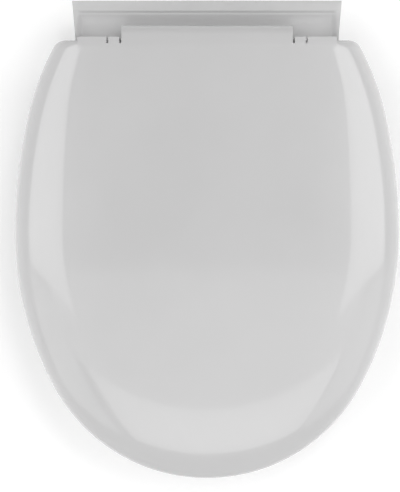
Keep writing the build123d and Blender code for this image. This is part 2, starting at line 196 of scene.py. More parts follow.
def addNode(nodes, kind, **values):
    node = nodes.new(kind)
    for key, value in values.items():
        if hasattr(node, key):
            setattr(node, key, value)
        else:
            node.inputs[key.replace("_", " ")].default_value = value
    return node


plastic = {"cloudDetail": 3.0, "cloudBreak": 0.5, "cloudSpan": (0.35, 0.65), "grainDetail": 2.0,
           "grainBreak": 0.6}


def mouldedPlastic(name, look):
    # moulded plastic: faint cloud in the colour, fine moulding texture, a little wandering gloss
    material, nodes, links = newFinish(name)
    shader = nodes["Principled BSDF"]
    place = addNode(nodes, "ShaderNodeTexCoord")
    cloud = addNode(nodes, "ShaderNodeTexNoise", Scale=look["cloudScale"],
                    Detail=plastic["cloudDetail"], Roughness=plastic["cloudBreak"])
    tint = addNode(nodes, "ShaderNodeValToRGB")
    for stop, share, shade in zip(tint.color_ramp.elements, plastic["cloudSpan"], ("dark", "pale")):
        stop.position = share
        stop.color = (*look[shade], 1)
    gloss = addNode(nodes, "ShaderNodeMapRange")
    gloss.inputs["To Min"].default_value = look["roughness"][0]
    gloss.inputs["To Max"].default_value = look["roughness"][1]
    grain = addNode(nodes, "ShaderNodeTexNoise", Scale=look["grainScale"],
                    Detail=plastic["grainDetail"], Roughness=plastic["grainBreak"])
    bump = addNode(nodes, "ShaderNodeBump", Strength=look["bump"], Distance=look["bumpDepth"])
    links.new(place.outputs["Object"], cloud.inputs["Vector"])
    links.new(place.outputs["Object"], grain.inputs["Vector"])
    links.new(cloud.outputs["Fac"], tint.inputs["Fac"])
    links.new(tint.outputs["Color"], shader.inputs["Base Color"])
    links.new(cloud.outputs["Fac"], gloss.inputs["Value"])
    links.new(gloss.outputs["Result"], shader.inputs["Roughness"])
    links.new(grain.outputs["Fac"], bump.inputs["Height"])
    links.new(bump.outputs["Normal"], shader.inputs["Normal"])
    shader.inputs["IOR"].default_value = look["ior"]
    shader.inputs["Coat Weight"].default_value = look["coat"]
    shader.inputs["Coat Roughness"].default_value = look["coatRoughness"]
    return material


lidGloss = mouldedPlastic("lidGloss", {
    "dark": (0.512, 0.510, 0.512), "pale": (0.529, 0.527, 0.529), "cloudScale": 9.0,
    "roughness": (0.16, 0.22), "grainScale": 900.0, "bump": 0.05, "bumpDepth": 0.0002,
    "ior": 1.5, "coat": 0.8, "coatRoughness": 0.06})
ringGloss = mouldedPlastic("ringGloss", {
    "dark": (0.512, 0.510, 0.512), "pale": (0.532, 0.530, 0.532), "cloudScale": 9.0,
    "roughness": (0.18, 0.25), "grainScale": 900.0, "bump": 0.05, "bumpDepth": 0.0002,
    "ior": 1.5, "coat": 0.2, "coatRoughness": 0.1})
barSatin = mouldedPlastic("barSatin", {
    "dark": (0.538, 0.537, 0.539), "pale": (0.560, 0.559, 0.561), "cloudScale": 12.0,
    "roughness": (0.26, 0.34), "grainScale": 1400.0, "bump": 0.08, "bumpDepth": 0.0002,
    "ior": 1.48, "coat": 0.1, "coatRoughness": 0.2})
bufferSoft = mouldedPlastic("bufferSoft", {
    "dark": (0.46, 0.46, 0.455), "pale": (0.50, 0.50, 0.495), "cloudScale": 40.0,
    "roughness": (0.5, 0.62), "grainScale": 2200.0, "bump": 0.15, "bumpDepth": 0.0002,
    "ior": 1.42, "coat": 0.0, "coatRoughness": 0.3})
padSoft = mouldedPlastic("padSoft", {
    "dark": (0.30, 0.30, 0.30), "pale": (0.35, 0.35, 0.35), "cloudScale": 50.0,
    "roughness": (0.55, 0.7), "grainScale": 2200.0, "bump": 0.2, "bumpDepth": 0.0002,
    "ior": 1.42, "coat": 0.0, "coatRoughness": 0.3})
fixingNylon = mouldedPlastic("fixingNylon", {
    "dark": (0.60, 0.595, 0.57), "pale": (0.65, 0.645, 0.62), "cloudScale": 60.0,
    "roughness": (0.34, 0.44), "grainScale": 1600.0, "bump": 0.1, "bumpDepth": 0.0002,
    "ior": 1.5, "coat": 0.0, "coatRoughness": 0.2})


def drawnSteel(name, look):
    # drawn bar: fine scratches that run along X
    material, nodes, links = newFinish(name)
    shader = nodes["Principled BSDF"]
    place = addNode(nodes, "ShaderNodeTexCoord")
    stretch = addNode(nodes, "ShaderNodeMapping")
    stretch.inputs["Scale"].default_value = look["stretch"]
    lines = addNode(nodes, "ShaderNodeTexNoise", Scale=1.0, Detail=look["lineDetail"],
                    Roughness=look["lineBreak"])
    gloss = addNode(nodes, "ShaderNodeMapRange")
    gloss.inputs["To Min"].default_value = look["roughness"][0]
    gloss.inputs["To Max"].default_value = look["roughness"][1]
    tint = addNode(nodes, "ShaderNodeValToRGB")
    tint.color_ramp.elements[0].color = (*look["dark"], 1)
    tint.color_ramp.elements[1].color = (*look["pale"], 1)
    bump = addNode(nodes, "ShaderNodeBump", Strength=look["bump"], Distance=look["bumpDepth"])
    links.new(place.outputs["Object"], stretch.inputs["Vector"])
    links.new(stretch.outputs["Vector"], lines.inputs["Vector"])
    links.new(lines.outputs["Fac"], tint.inputs["Fac"])
    links.new(lines.outputs["Fac"], gloss.inputs["Value"])
    links.new(lines.outputs["Fac"], bump.inputs["Height"])
    links.new(tint.outputs["Color"], shader.inputs["Base Color"])
    links.new(gloss.outputs["Result"], shader.inputs["Roughness"])
    links.new(bump.outputs["Normal"], shader.inputs["Normal"])
    shader.inputs["Metallic"].default_value = 1.0
    return material


pinSteel = drawnSteel("pinSteel", {
    "dark": (0.52, 0.52, 0.53), "pale": (0.66, 0.66, 0.67), "roughness": (0.22, 0.36),
    "stretch": (30.0, 1600.0, 1600.0), "lineDetail": 4.0, "lineBreak": 0.6, "bump": 0.1,
    "bumpDepth": 0.0001})
print("finishes ready")


# lid

lid = {
    "half": 180.0, "reach": 429.2, "widest": 200.0, "rear": 20.7, "flank": 500.0, "corner": 12.0,
    "haunch": (-92.0, 260.0), "edge": 23.0, "shoulder": 32.0, "top": 45.2, "wall": 2.6, "draft": 1.5,
    "sideSpread": 46.0, "cornerSpread": 24.0, "frontSpread": 78.0, "rearSpread": 3.0,
    "bands": 16, "steps": (26, 20, 16, 10, 12),
    "axisY": -23.5, "axisZ": 34.0, "barrelY": -16.8, "barrel": 10.0, "crease": -26.5,
    "lip": 119.9, "lipEdge": -18.4, "tongue": 79.2, "wrap": 72.0, "wrapSteps": 14,
    "slits": ((79.2, 81.2), (91.2, 93.2)), "slitEnd": -23.8, "slitRound": 0.9, "slitEdge": 1.5,
    "eye": 4.8, "bore": 2.6, "eyeInset": 0.1, "waistRise": 0.9, "waistInset": 1.8, "edgeRound": 0.5,
}


def drawnIn(egg, inset, cornerInset, frontInset, rearInset):
    # the egg outline drawn in by its own margin at sides, rear corners, front and rear
    length = egg["widest"] - egg["rear"]
    drop = egg["flank"] - sqrt(egg["flank"] ** 2 - length ** 2) - inset + cornerInset
    drawn = {
        "half": egg["half"] - inset, "widest": -egg["widest"],
        "rear": -egg["rear"] - rearInset, "front": -egg["reach"] + frontInset,
        "flank": (length ** 2 + drop ** 2) / (2 * drop), "corner": egg["corner"],
        "steps": egg["steps"]}
    if "haunch" in egg:
        drawn["haunch"] = egg["haunch"]
    return drawn


def domeRows(bm, egg):
    # rows of a domed form: its lower edge, then a quarter round up to its level top
    rows = [eggHalf(bm, drawnIn(egg, 0, 0, 0, 0), egg["edge"])]
    rise = egg["top"] - egg["shoulder"]
    for run, lift in quarter(egg["bands"]):
        inner = drawnIn(
            egg, egg["draft"] + egg["sideSpread"] * run, egg["draft"] + egg["cornerSpread"] * run,
            egg["draft"] + egg["frontSpread"] * run, egg["rearSpread"] * run)
        rows.append(eggHalf(bm, inner, egg["shoulder"] + rise * lift))
    return rows


def lidSkin():
    # outer skin of the lid without its hinge strip: edge, shoulder and level top
    bm = bmesh.new()
    rows = domeRows(bm, lid)
    joinRows(bm, rows)
    ends = [v for v in bm.verts if abs(v.co.x) < weld and abs(v.co.z - lid["top"]) < weld]
    seam = bm.edges.new(sorted(ends, key=lambda v: v.co.y))
    bmesh.ops.contextual_create(bm, geom=rows[-1] + [seam])
    mirrorHalf(bm)
    return bm


def makeLidShell():
    bm = lidSkin()
    # the hinge strip takes the place of the rear wall between the lips
    window = lid["crease"] - lid["wall"]
    cutAt(bm, (0, window, 0), back)
    lines = [lid["lip"]] + [x for slit in lid["slits"] for x in slit]
    lines += [(low + high) / 2 for low, high in lid["slits"]]
    cutAt(bm, (0, 0, 0), right)
    for x in lines:
        cutAt(bm, (x, 0, 0), right)
        cutAt(bm, (-x, 0, 0), right)
    gone = [f for f in bm.faces if abs(f.calc_center_median().x) < lid["lip"]
            and f.calc_center_median().y > window]
    bmesh.ops.delete(bm, geom=gone, context="FACES")
    row = [e for e in bm.edges if e.is_boundary and all(
        abs(v.co.y - window) < near and abs(v.co.x) < lid["lip"] + near for v in e.verts)]
    crease = Vector((0, lid["crease"], lid["top"]))
    rise, run = lid["top"] - lid["axisZ"], lid["barrelY"] - lid["crease"]
    lead = acos(lid["barrel"] / hypot(run, rise)) - atan2(run, rise)

    def onBarrel(angle):
        y = lid["barrelY"] + lid["barrel"] * sin(angle)
        return y, lid["axisZ"] + lid["barrel"] * cos(angle)

    tangent = Vector((0, *onBarrel(lead)))

    def slope(y):
        share = (y - crease.y) / (tangent.y - crease.y)
        return crease.z + (tangent.z - crease.z) * share

    def inSlit(x):
        return any(low - near < abs(x) < high + near for low, high in lid["slits"])

    def slitMiddle(x):
        return any(abs(abs(x) - (low + high) / 2) < near for low, high in lid["slits"])

    # crease
    verts, row = extrudeRow(bm, row)
    for v in verts:
        v.co.y, v.co.z = crease.y, crease.z
    # end of the slits
    verts, row = extrudeRow(bm, row)
    for v in verts:
        v.co.y = lid["slitEnd"] - (lid["slitRound"] if slitMiddle(v.co.x) else 0.0)
        v.co.z = slope(v.co.y)
    row = [e for e in row if not all(inSlit(v.co.x) for v in e.verts) or
           abs(e.verts[0].co.x - e.verts[1].co.x) > lid["slitEdge"]]
    # edge of the lips
    verts, row = extrudeRow(bm, row)
    for v in verts:
        v.co.y = lid["lipEdge"]
        v.co.z = slope(v.co.y)
    # the tongue wraps over the barrel
    row = [e for e in row if all(abs(v.co.x) < lid["tongue"] + near for v in e.verts)]
    for step in range(lid["wrapSteps"] + 1):
        angle = lead + (radians(lid["wrap"]) - lead) * step / lid["wrapSteps"]
        verts, row = extrudeRow(bm, row)
        for v in verts:
            v.co.y, v.co.z = onBarrel(angle)
    bmesh.ops.remove_doubles(bm, verts=bm.verts, dist=weld)
    bmesh.ops.recalc_face_normals(bm, faces=bm.faces)
    top = max(bm.faces, key=lambda f: f.calc_area())
    if top.normal.z < 0:
        bmesh.ops.reverse_faces(bm, faces=bm.faces)
    piece = linkPiece("lidShell", bm, "lid", lidGloss, ["lid"])
    addWall(piece, lid["wall"])
    addBevel(piece, lid["edgeRound"], angle=40)
    return piece


lidShell = makeLidShell()
print("lid shell", len(lidShell.data.polygons))


def makeLidEyes():
    bm = bmesh.new()
    for side in (-1, 1):
        low, high = sorted((side * lid["slits"][0][1], side * lid["slits"][1][0]))
        tubeX(bm, low, high, lid["axisY"], lid["axisZ"], lid["eye"], lid["bore"])
        topZ = lid["axisZ"] + lid["barrel"] - lid["wall"] / 2
        front, rear = lid["axisY"] - lid["eye"], lid["axisY"] + lid["eye"]
        waist = lid["axisZ"] + lid["bore"] + lid["waistRise"]
        inset, tuck = lid["eyeInset"], lid["waistInset"]
        points = [(front + inset, lid["axisZ"]), (front + tuck, waist), (rear - tuck, waist),
                  (rear - inset, lid["axisZ"]), (rear - inset, topZ), (front + inset, topZ)]
        plate(bm, points, low, high)
    bmesh.ops.recalc_face_normals(bm, faces=bm.faces)
    return linkPiece("lidEyes", bm, "lid", lidGloss)


lidEyes = makeLidEyes()
print("lid eyes", len(lidEyes.data.polygons))


# seat ring

ring = {
    "half": 176.0, "reach": 425.2, "widest": 200.0, "rear": 40.0, "flank": 500.0, "corner": 46.0,
    "edge": 6.0, "shoulder": 15.0, "top": 26.0, "wall": 2.8, "draft": 1.5,
    "sideSpread": 24.0, "cornerSpread": 18.0, "frontSpread": 26.0, "rearSpread": 12.0,
    "bands": 12, "steps": (26, 20, 22, 16),
    "openHalf": 111.0, "openRear": -118.0, "openFront": -348.0, "openWidest": -205.0,
    "openFlank": 150.0, "openCorner": 62.0, "flare": 9.0, "flareDepth": 7.0, "flareBands": 10,
    "landCuts": 6, "ribs": 10, "rib": 2.2, "ribLow": 11.0, "ribSink": 0.55, "edgeRound": 0.6,
    "eyes": (93.5, 110.2), "armRoot": -52.0, "armHeel": 8.8, "armTop": 24.6, "armSink": 0.05,
    "armInset": 0.4, "armRound": 0.5, "armFront": -20, "armBack": (-180, -150, -120, -90, -60, -35),
}


def openingHalf(bm, growth, height):
    # the opening's outline, let out by a growth
    return eggHalf(bm, {
        "half": ring["openHalf"] + growth, "rear": ring["openRear"] + growth,
        "front": ring["openFront"] - growth, "widest": ring["openWidest"],
        "flank": ring["openFlank"] + growth, "corner": ring["openCorner"] + growth,
        "steps": ring["steps"]}, height)


def ringSkin():
    # outer skin of the ring: up the outside, over the seat and down into the opening
    bm = bmesh.new()
    outside = domeRows(bm, ring)
    inside = []
    for run, lift in reversed(quarter(ring["flareBands"])):
        height = ring["top"] - ring["flareDepth"] * (1 - lift)
        inside.append(openingHalf(bm, ring["flare"] * run, height))
    inside.append(openingHalf(bm, 0, ring["edge"]))
    joinRows(bm, outside)
    land = joinRows(bm, [outside[-1], inside[0]])
    joinRows(bm, inside)
    rim = set(outside[-1] + inside[0])
    across = list({e for f in land for e in f.edges if e not in rim})
    bmesh.ops.subdivide_edges(bm, edges=across, cuts=ring["landCuts"], use_grid_fill=True)
    mirrorHalf(bm)
    if max(bm.faces, key=lambda f: f.calc_area()).normal.z < 0:
        bmesh.ops.reverse_faces(bm, faces=bm.faces)
    return bm


def sunkIn(bm, depth):
    # the same skin moved inwards, into the middle of its wall
    bm.normal_update()
    moved = [(v, v.co - v.normal * depth) for v in bm.verts]
    for vert, place in moved:
        vert.co = place
    return bm


ringShell = linkPiece("ringShell", ringSkin(), "ring", ringGloss, ["seat_ring"])
addWall(ringShell, ring["wall"])
addBevel(ringShell, ring["edgeRound"], angle=40)
print("ring shell", len(ringShell.data.polygons))


def makeRibs():
    # each rib is a slice of the space under the skin, closed below
    core = sunkIn(ringSkin(), ring["wall"] * ring["ribSink"])
    cutAt(core, (0, 0, ring["ribLow"]), up, clearInner=True)
    bm = bmesh.new()
    for index in range(ring["ribs"]):
        angle = 2 * pi * (index + 0.5) / ring["ribs"]
        along = Vector((cos(angle), sin(angle), 0))
        aside = Vector((-sin(angle), cos(angle), 0))
        middle = Vector((0, ring["openWidest"], 0))
        slab = core.copy()
        cutAt(slab, middle + aside * ring["rib"] / 2, aside, clearOuter=True)
        cutAt(slab, middle - aside * ring["rib"] / 2, aside, clearInner=True)
        cutAt(slab, middle, along, clearInner=True)
        bmesh.ops.remove_doubles(slab, verts=slab.verts, dist=near)
        feet = [v for v in slab.verts if abs(v.co.z - ring["ribLow"]) < near
                and abs(abs((v.co - middle).dot(aside)) - ring["rib"] / 2) < 2 * near]
        feet.sort(key=lambda v: (v.co - middle).dot(along))
        for sign in (-1, 1):
            pair = [v for v in feet if (v.co - middle).dot(aside) * sign > 0]
            slab.edges.new((pair[0], pair[-1]))
        border = [e for e in slab.edges if e.is_boundary or e.is_wire]
        bmesh.ops.holes_fill(slab, edges=border, sides=0)
        bmesh.ops.recalc_face_normals(slab, faces=slab.faces)
        mesh = bpy.data.meshes.new("ribSlice")
        slab.to_mesh(mesh)
        slab.free()
        bm.from_mesh(mesh)
        bpy.data.meshes.remove(mesh)
    core.free()
    return linkPiece("ringRibs", bm, "ring", ringGloss, smooth=False)


ringRibs = makeRibs()
print("ring ribs", len(ringRibs.data.polygons))


def roundHinge(radius, angle):
    # point about the hinge axis, the angle counted from straight up towards the rear
    return (lid["axisY"] + radius * sin(radians(angle)), lid["axisZ"] + radius * cos(radians(angle)))


def makeArms():
    bm = bmesh.new()
    for side in (-1, 1):
        low, high = sorted((side * ring["eyes"][0], side * ring["eyes"][1]))
        tubeX(bm, low, high, lid["axisY"], lid["axisZ"], lid["eye"], lid["bore"])
        inner = (lid["eye"] + lid["bore"]) / 2
        outer = lid["eye"] - ring["armSink"]
        points = [roundHinge(outer, ring["armFront"]), (ring["armRoot"], ring["armTop"]),
                  (ring["armRoot"], ring["armHeel"]), (-ring["rear"], ring["armHeel"]),
                  roundHinge(outer, 180)]
        points += [roundHinge(inner, angle) for angle in ring["armBack"]]
        plate(bm, points, low + ring["armInset"], high - ring["armInset"])
    bmesh.ops.recalc_face_normals(bm, faces=bm.faces)
    piece = linkPiece("ringArms", bm, "ring", ringGloss)
    addBevel(piece, ring["armRound"])
    return piece


ringArms = makeArms()
print("ring arms", len(ringArms.data.polygons))


# bosses that hold the buffers' stems

bosses = {
    "bore": 3.5, "wall": 2.2, "steps": 40, "sink": 0.6, "lidLow": 32.3, "edgeRound": 0.35,
    "fins": 4, "fin": 1.6, "finReach": 5.0, "finDrop": 7.0, "finSink": 0.6, "finLeast": 2.0,
    "finFoot": 1.5, "finTip": 0.5, "finTail": 0.4,
    "ring": {"rear": (0.745, 0.59), "front": (0.595, 0.655)},
    "lid": {"rear": (0.71, 0.75), "front": (0.578, 0.633)},
}


def bossPlaces(shares):
    # shares of the lid's half width, and of its length behind and ahead of the widest place
    ahead = lid["reach"] - lid["widest"]
    rearX, frontX = shares["rear"][0] * lid["half"], shares["front"][0] * lid["half"]
    rearY = -shares["rear"][1] * lid["widest"]
    frontY = -lid["widest"] - shares["front"][1] * ahead
    return [(-rearX, rearY), (rearX, rearY), (-frontX, frontY), (frontX, frontY)]


def makeBosses(name, places, bottom, skin, body, material):
    bm = bmesh.new()
    roof = BVHTree.FromBMesh(skin)
    inner, outer = bosses["bore"], bosses["bore"] + bosses["wall"]
    for x, y in places:
        # the tube's section is spun once, then its top is pushed up to the skin
        points = [(inner, 0), (outer, 0), (outer, 1), (inner, 1)]
        verts = [bm.verts.new((x + r, y, bottom + z)) for r, z in points]
        edges = [bm.edges.new(pair) for pair in zip(verts, verts[1:] + verts[:1])]
        start = set(bm.verts) - set(verts)
        bmesh.ops.spin(bm, geom=verts + edges, cent=(x, y, 0), axis=up, angle=2 * pi,
                       steps=bosses["steps"], use_merge=True)
        for v in [v for v in bm.verts if v not in start and v.co.z > bottom + 0.5]:
            hit = roof.ray_cast(Vector((v.co.x, v.co.y, bottom)), up)[0]
            v.co.z = hit.z
        for fin in range(bosses["fins"]):
            angle = 2 * pi * fin / bosses["fins"] + pi / 4
            along = Vector((cos(angle), sin(angle), 0))
            aside = Vector((-sin(angle), cos(angle), 0)) * bosses["fin"] / 2
            root = Vector((x, y, 0)) + along * (inner + bosses["finSink"])
            tip = Vector((x, y, 0)) + along * (outer + bosses["finReach"])
            tops = [roof.ray_cast(Vector((p.x, p.y, bottom)), up)[0] for p in (root, tip)]
            if any(hit is None for hit in tops) or tops[1].z < bottom + bosses["finLeast"]:
                continue
            rootTop, tipTop = tops[0].z, tops[1].z
            low = min(max(bottom + bosses["finFoot"], rootTop - bosses["finDrop"]),
                      tipTop - bosses["finTip"])
            outline = [root + up * low, root + up * rootTop, tip + up * tipTop,
                       tip + up * (tipTop - bosses["finTail"])]
            face = bm.faces.new([bm.verts.new(p - aside) for p in outline])
            made = bmesh.ops.extrude_face_region(bm, geom=[face])["geom"]
            far = [g for g in made if isinstance(g, bmesh.types.BMVert)]
            bmesh.ops.translate(bm, vec=aside * 2, verts=far)
    skin.free()
    bmesh.ops.recalc_face_normals(bm, faces=bm.faces)
    piece = linkPiece(name, bm, body, material)
    addBevel(piece, bosses["edgeRound"], segments=2, angle=40)


ringRoof = sunkIn(ringSkin(), ring["wall"] * bosses["sink"])
makeBosses("ringBosses", bossPlaces(bosses["ring"]), ring["edge"], ringRoof,
           "ring", ringGloss)
lidRoof = sunkIn(lidSkin(), lid["wall"] * bosses["sink"])
makeBosses("lidBosses", bossPlaces(bosses["lid"]), bosses["lidLow"], lidRoof,
           "lid", lidGloss)
print("bosses ready")


# hinge bar

bar = {
    "half": 126.5, "taper": 4.0, "rear": 18.2, "front": -31.0, "split": 10.85,
    "strip": 20.0, "roll": (9.6, 6.2), "rollDrop": 1.6, "coveBend": 1.7, "troughRear": -5.2,
    "trough": (15.0, 13.4), "wall": (116.5, 124.0), "wallNose": (-23.5, 18.4), "endGap": 0.6,
    "plainColumns": 12, "blendSteps": 8, "rollSteps": 8, "coveSteps": 10, "noseSteps": 10,
    "stripRow": 13.0, "troughRows": [-11.0, -18.0], "edgeRound": 1.0, "seamWeld": 0.02,
}
ears = {"places": (80.2, 92.2), "wide": 1.4, "round": 4.2, "steps": 10, "foot": 12.5, "setback": 0.6,
        "neck": 4.8, "lean": 6.0, "edgeRound": 0.25}


def easeStep(value, low, high):
    # 0 below low, 1 above high, and a soft rise between
    share = min(max((value - low) / (high - low), 0.0), 1.0)
    return share * share * (3 - 2 * share)


def barTrough(y):
    # rear strip, a soft roll, a hollow cove and the shallow trough
    cove = bar["strip"] - bar["rollDrop"]
    if y > bar["roll"][1]:
        return cove + bar["rollDrop"] * easeStep(y, bar["roll"][1], bar["roll"][0])
    if y > bar["troughRear"]:
        share = (y - bar["troughRear"]) / (bar["roll"][1] - bar["troughRear"])
        return bar["trough"][0] + (cove - bar["trough"][0]) * share ** bar["coveBend"]
    share = (bar["troughRear"] - y) / (bar["troughRear"] - bar["front"])
    return bar["trough"][0] + (bar["trough"][1] - bar["trough"][0]) * share


def barWall(y):
    # top of the end walls, with a rounded nose at the front
    noseY, noseZ = bar["wallNose"]
    if y > noseY:
        return noseZ + (bar["strip"] - noseZ) * (y - noseY) / (bar["rear"] - noseY)
    fall = noseY - bar["front"]
    return noseZ - fall + sqrt(max(fall ** 2 - (noseY - y) ** 2, 0.0))


def barHeight(x, y):
    low = barTrough(y)
    rise = easeStep(abs(x), *bar["wall"])
    return low + max(barWall(y) - low, 0.0) * rise


def barColumns():
    start, end = bar["wall"][0], bar["half"] - bar["taper"] - bar["endGap"]
    steps, plain = bar["blendSteps"], bar["plainColumns"]
    outer = [start + (end - start) * step / steps for step in range(steps + 1)]
    inner = [start * step / plain for step in range(plain)]
    line = inner + outer
    return [-x for x in reversed(line[1:])] + line


def barRows():
    rollRear, rollFront = bar["roll"]
    noseY, trough = bar["wallNose"][0], bar["troughRear"]
    steps = bar["rollSteps"]
    roll = [rollRear + (rollFront - rollRear) * step / steps for step in range(steps + 1)]
    steps = bar["coveSteps"]
    cove = [rollFront + (trough - rollFront) * step / steps for step in range(1, steps + 1)]
    steps = bar["noseSteps"]
    nose = [noseY - (noseY - bar["front"]) * sin(pi / 2 * step / steps) for step in range(steps + 1)]
    return [bar["rear"], bar["stripRow"]] + roll + cove + bar["troughRows"] + nose


def makeBar():
    # a grid is laid over the bar and lifted to its heights, then its border is drawn down
    columns, rows = barColumns(), barRows()
    slant = bar["taper"] / (bar["rear"] - bar["front"])
    bm = bmesh.new()
    wide, deep = len(columns) + 1, len(rows) - 1
    bmesh.ops.create_grid(bm, x_segments=wide, y_segments=deep, size=0.5)
    for v in bm.verts:
        column, row = round((v.co.x + 0.5) * wide), round((v.co.y + 0.5) * deep)
        y = rows[deep - row]
        end = bar["half"] - slant * (bar["rear"] - y)
        x = -end if column == 0 else end if column == wide else columns[column - 1]
        v.co = (x, y, barHeight(x, y))
    verts = extrudeRow(bm, [e for e in bm.edges if e.is_boundary])[0]
    for v in verts:
        v.co.z = bar["split"]
    # below the split the ribs, slots and pockets of the solid are kept
    under = bmesh.new()
    under.from_mesh(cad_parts["hinge_bar"].data)
    bmesh.ops.scale(under, vec=(1 / mm, 1 / mm, 1 / mm), verts=under.verts)
    bmesh.ops.remove_doubles(under, verts=under.verts, dist=near)
    cutAt(under, (0, 0, bar["split"]), up, clearOuter=True)
    for axis, places in ((right, columns), (back, rows[1:-1])):
        for place in places:
            rim = {f for e in under.edges if e.is_boundary for f in e.link_faces}
            rimEdges = {e for f in rim for e in f.edges}
            rimVerts = {v for f in rim for v in f.verts}
            cutAt(under, axis * place, axis, geom=[*rim, *rimEdges, *rimVerts])
    # points on the seam that the skirt above doesn't have
    seam = [v for v in under.verts if v.is_boundary]
    spare = [v for v in seam
             if min((v.co - other.co).length for other in verts) > bar["seamWeld"]]
    bmesh.ops.dissolve_verts(under, verts=spare)
    mesh = bpy.data.meshes.new("barUnder")
    under.to_mesh(mesh)
    under.free()
    bm.from_mesh(mesh)
    bpy.data.meshes.remove(mesh)
    bmesh.ops.remove_doubles(bm, verts=bm.verts, dist=bar["seamWeld"])
    bmesh.ops.recalc_face_normals(bm, faces=bm.faces)
    print("bar open edges", sum(e.is_boundary for e in bm.edges))
    piece = linkPiece("barBody", bm, "bar", barSatin, ["hinge_bar"])
    addBevel(piece, bar["edgeRound"], segments=4, angle=50)
    return piece


def makeEars():
    bm = bmesh.new()
    y, z, steps = lid["axisY"], lid["axisZ"], ears["steps"]
    points = [(y + ears["setback"], ears["foot"]), (y + ears["setback"], z - ears["neck"])]
    points += [roundHinge(ears["round"], 90 - step * 180 / steps) for step in range(steps + 1)]
    points += [(y - ears["lean"], ears["foot"])]
    for side in (-1, 1):
        for place in ears["places"]:
            plate(bm, points, side * place - ears["wide"] / 2, side * place + ears["wide"] / 2)
    bmesh.ops.recalc_face_normals(bm, faces=bm.faces)
    piece = linkPiece("barEars", bm, "bar", barSatin)
    addBevel(piece, ears["edgeRound"], segments=2, angle=40)


barBody = makeBar()
makeEars()
print("hinge bar", len(barBody.data.polygons))


# thread on the bolts

thread = {"x": 77.5, "low": -55.5, "high": -21.5, "pitch": 2.0, "root": 3.6, "crest": 3.97,
          "width": 1.3, "flat": 0.35, "steps": 28, "weld": 0.0001}


def makeThread(side, name):
    bm = bmesh.new()
    turns = (thread["high"] - thread["low"]) / thread["pitch"]
    points = [(thread["root"], -thread["width"] / 2), (thread["crest"], -thread["flat"] / 2),
              (thread["crest"], thread["flat"] / 2), (thread["root"], thread["width"] / 2)]
    x = side * thread["x"]
    start = bm.faces.new([bm.verts.new((x + r, 0, thread["low"] + z)) for r, z in points])
    steps = int(turns * thread["steps"])
    bmesh.ops.spin(bm, geom=[start] + start.edges[:] + start.verts[:], cent=(x, 0, 0), axis=up,
                   dvec=(0, 0, thread["pitch"] / thread["steps"]),
                   angle=2 * pi * steps / thread["steps"], steps=steps)
    bmesh.ops.remove_doubles(bm, verts=bm.verts, dist=thread["weld"])
    bmesh.ops.recalc_face_normals(bm, faces=bm.faces)
    linkPiece(name, bm, "bar", fixingNylon, smooth=False)


makeThread(-1, "leftThread")
makeThread(1, "rightThread")
print("threads ready")


# wing nuts

nut = {"x": 77.5, "top": -28.0, "height": 14.0, "hub": 8.0, "bore": 4.0, "chamfer": 1.0,
       "span": 22.0, "root": 2.0, "tip": 1.5, "wingRoot": 5.5, "corner": 6.0, "cornerSteps": 8,
       "steps": 48, "edgeRound": 0.7}


def nutWing(x, way):
    # one wing: a block with two rounded corners, drawn thinner towards its tip
    wing = bmesh.new()
    bmesh.ops.create_cube(wing, size=1.0)
    length = nut["span"] - nut["wingRoot"]
    bmesh.ops.scale(wing, vec=(length, nut["root"] * 2, nut["height"]), verts=wing.verts)
    tips = [e for e in wing.edges
            if all(v.co.x > 0 for v in e.verts) and e.verts[0].co.z == e.verts[1].co.z]
    bmesh.ops.bevel(wing, geom=tips, offset=nut["corner"], segments=nut["cornerSteps"],
                    profile=0.5, affect="EDGES", material=-1)
    for v in wing.verts:
        v.co.y *= 1 - (1 - nut["tip"] / nut["root"]) * (v.co.x / length + 0.5)
    place = (nut["span"] - length / 2, 0, nut["top"] - nut["height"] / 2)
    bmesh.ops.translate(wing, vec=place, verts=wing.verts)
    if way < 0:
        bmesh.ops.rotate(wing, cent=(0, 0, 0), matrix=Matrix.Rotation(pi, 3, "Z"), verts=wing.verts)
    bmesh.ops.translate(wing, vec=(x, 0, 0), verts=wing.verts)
    mesh = bpy.data.meshes.new("nutWing")
    wing.to_mesh(mesh)
    wing.free()
    return mesh


def makeNut(side, name):
    bm = bmesh.new()
    x = side * nut["x"]
    low, high = nut["top"] - nut["height"], nut["top"]
    points = [(nut["bore"], low), (nut["hub"] - nut["chamfer"], low),
              (nut["hub"], low + nut["chamfer"]), (nut["hub"], high), (nut["bore"], high)]
    verts = [bm.verts.new((x + r, 0, z)) for r, z in points]
    edges = [bm.edges.new(pair) for pair in zip(verts, verts[1:] + verts[:1])]
    bmesh.ops.spin(bm, geom=verts + edges, cent=(x, 0, 0), axis=up, angle=2 * pi,
                   steps=nut["steps"], use_merge=True)
    for way in (-1, 1):
        mesh = nutWing(x, way)
        bm.from_mesh(mesh)
        bpy.data.meshes.remove(mesh)
    bmesh.ops.recalc_face_normals(bm, faces=bm.faces)
    piece = linkPiece(name + "_wing_nutPiece", bm, "bar", fixingNylon,
                      [name + "_wing_nut"])
    addBevel(piece, nut["edgeRound"], angle=40)


makeNut(-1, "left")
makeNut(1, "right")
print("wing nuts ready")


# nodes that keep their solid's form: a merged copy with rounded edges

dressed = {"weld": 0.00001, "flat": 1.0, "creaseAngle": 30}


def dressNode(node, body, material, width):
    bm = bmesh.new()
    bm.from_mesh(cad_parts[node].data)
    bmesh.ops.remove_doubles(bm, verts=bm.verts, dist=dressed["weld"])
    bmesh.ops.dissolve_limit(bm, angle_limit=radians(dressed["flat"]), verts=bm.verts, edges=bm.edges)
    piece = linkPiece(node + "Piece", bm, body, material, [node], scale=1)
    addBevel(piece, width, angle=dressed["creaseAngle"])


